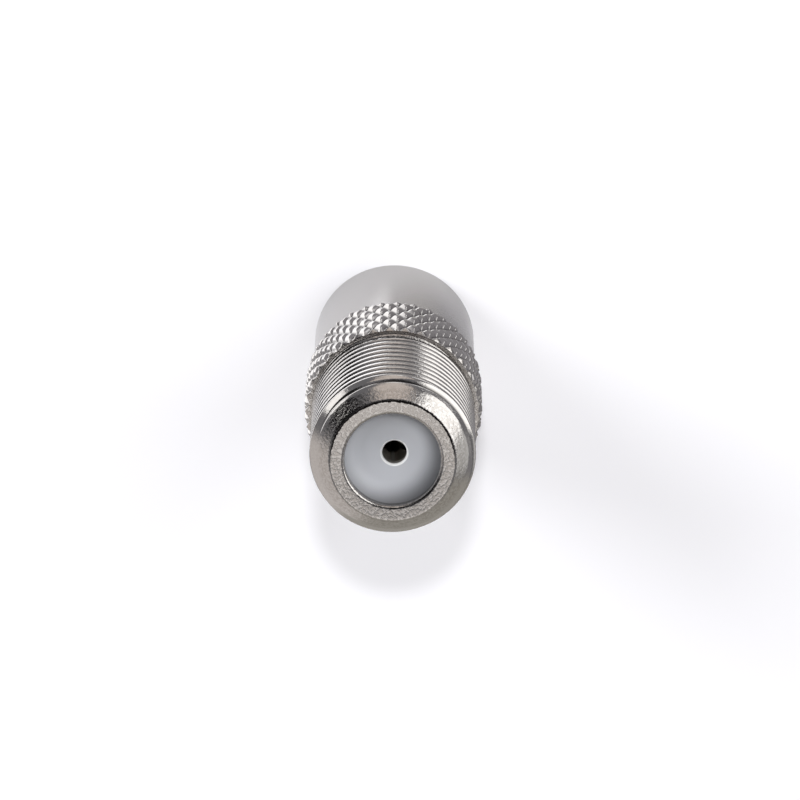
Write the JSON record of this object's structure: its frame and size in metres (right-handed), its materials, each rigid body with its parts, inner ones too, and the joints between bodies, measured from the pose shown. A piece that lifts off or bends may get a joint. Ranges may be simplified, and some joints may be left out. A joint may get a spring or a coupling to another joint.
{
  "type": "f connector adapter",
  "caption": "Short plated coaxial adapter: threaded F jack with a dished white insulator, a fixed knurled collar, and a smooth push-on plug barrel round a solid pin.",
  "frame": {"origin": "centre of the plug barrel's rim, which the part stands on", "axes": "+Z along the common axis, from the plug barrel's rim up to the jack's face"},
  "size_m": [0.0104, 0.0102, 0.0234],
  "materials": {
    "plated_body": "bright nickel plate on turned brass",
    "white_insulator": "moulded, satin",
    "plated_contact": "nickel plate on brass"
  },
  "bodies": {
    "root": {"body": "plated_body", "front_insulator": "white_insulator", "spring_contact": "plated_contact", "plug_pin": "plated_contact", "rear_insulator": "white_insulator"}
  },
  "joints": []
}
